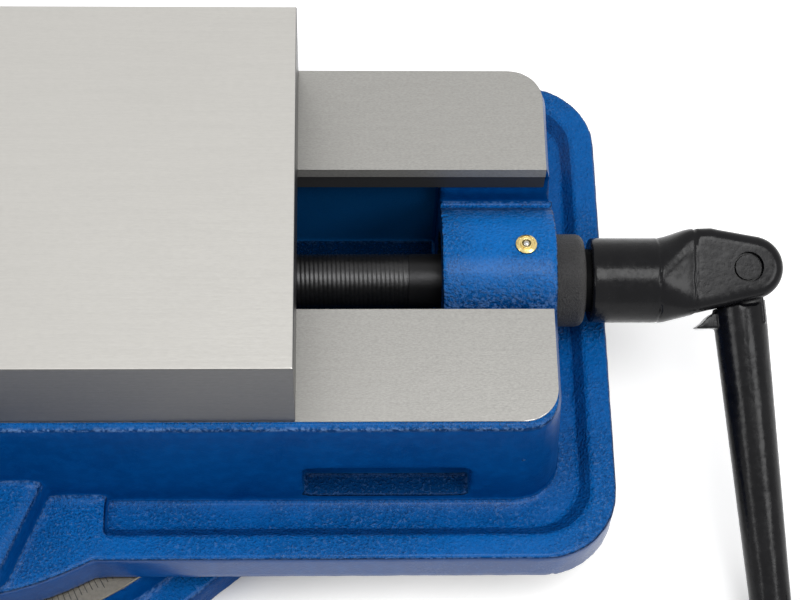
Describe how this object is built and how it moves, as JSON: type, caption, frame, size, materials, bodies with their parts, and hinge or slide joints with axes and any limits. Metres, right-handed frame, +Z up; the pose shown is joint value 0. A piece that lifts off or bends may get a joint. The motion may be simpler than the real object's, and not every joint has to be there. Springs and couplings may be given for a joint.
{
  "type": "swivel machine vise",
  "caption": "Precision milling vise on a graduated swivel base, with a screw-driven sliding jaw on ground ways and a folding crank handle.",
  "frame": {"origin": "on the swivel axis, at the underside of the swivel base (the machine table's plane)", "axes": "+X along the bed towards the crank handle, +Z up, +Y to the far side seen with the handle on the right; the jaw faces look along X"},
  "size_m": [0.7099, 0.308, 0.1584],
  "materials": {
    "cast_blue": "gloss blue enamel on cast iron, machined faces bare",
    "ground_steel": "ground",
    "hard_steel": "ground",
    "dark_steel": "blackened",
    "black_enamel": "gloss black",
    "bolt_steel": "blackened",
    "brass": "polished",
    "bronze": "turned",
    "grip_plastic": "satin black"
  },
  "bodies": {
    "base": {"swivel_base": "cast_blue", "pivot_pin": "hard_steel"},
    "body": {"vise_body": "cast_blue", "t_bolt_far": "bolt_steel", "t_bolt_near": "bolt_steel", "lug_washer_far": "bolt_steel", "lug_washer_near": "bolt_steel", "lug_nut_far": "bolt_steel", "lug_nut_near": "bolt_steel", "fixed_jaw": "ground_steel", "fixed_jaw_key": "hard_steel", "fixed_jaw_bolt_far": "bolt_steel", "fixed_jaw_bolt_near": "bolt_steel", "fixed_jaw_plate": "ground_steel", "fixed_plate_screw_far": "bolt_steel", "fixed_plate_screw_near": "bolt_steel", "screw_bush": "bronze", "thrust_washer_inner": "hard_steel", "thrust_washer_outer": "hard_steel", "thrust_cage": "brass", "thrust_ball_1": "hard_steel", "thrust_ball_2": "hard_steel", "thrust_ball_3": "hard_steel", "thrust_ball_4": "hard_steel", "thrust_ball_5": "hard_steel", "thrust_ball_6": "hard_steel", "thrust_ball_7": "hard_steel", "thrust_ball_8": "hard_steel", "oiler_body": "brass", "oiler_spring": "bolt_steel"},
    "jaw": {"movable_jaw": "ground_steel", "movable_jaw_plate": "ground_steel", "movable_plate_screw_far": "bolt_steel", "movable_plate_screw_near": "bolt_steel", "jaw_nut": "dark_steel", "half_ball": "hard_steel", "jaw_set_screw": "bolt_steel"},
    "screw": {"lead_screw": "dark_steel", "retaining_collar": "dark_steel", "collar_set_screw": "bolt_steel"},
    "hub": {"handle_hub": "black_enamel", "handle_pin": "black_enamel"},
    "arm": {"handle_arm": "black_enamel", "grip_bolt": "bolt_steel"},
    "grip": {"handle_grip": "grip_plastic"},
    "oil_ball": {"oiler_ball": "hard_steel"}
  },
  "joints": [
    {"name": "swivel", "type": "hinge", "parent": "base", "child": "body", "pos_m": [0, 0, 0.0335], "axis": [0, 0, 1], "continuous": true},
    {"name": "jaw_slide", "type": "slide", "parent": "body", "child": "jaw", "axis": [1, 0, 0], "range_m": [-0.1585, 0.1]},
    {"name": "screw_turn", "type": "hinge", "parent": "body", "child": "screw", "pos_m": [0.22, 0, 0.0784], "axis": [1, 0, 0], "range_deg": [-31500, 19900]},
    {"name": "handle_pull_off", "type": "slide", "parent": "screw", "child": "hub", "axis": [1, 0, 0], "range_m": [0, 0.03]},
    {"name": "handle_fold", "type": "hinge", "parent": "hub", "child": "arm", "pos_m": [0.3283, 0.00408, 0.0803], "axis": [0, -0.4226, 0.9063], "range_deg": [0, 84.5]},
    {"name": "grip_spin", "type": "hinge", "parent": "arm", "child": "grip", "pos_m": [0.34007, -0.13511, 0.0154], "axis": [0.9954, 0.0869, 0.0405], "continuous": true},
    {"name": "oiler_press", "type": "slide", "parent": "body", "child": "oil_ball", "axis": [0, 0, -1], "range_m": [0, 0.0008], "stiffness_N_per_m": 300, "springref_m": -0.0015, "deforming": ["oiler_spring"]}
  ],
  "couplings": [
    {"joint": "screw_turn", "follows": "jaw_slide", "rad_per_m": 3463.1}
  ]
}
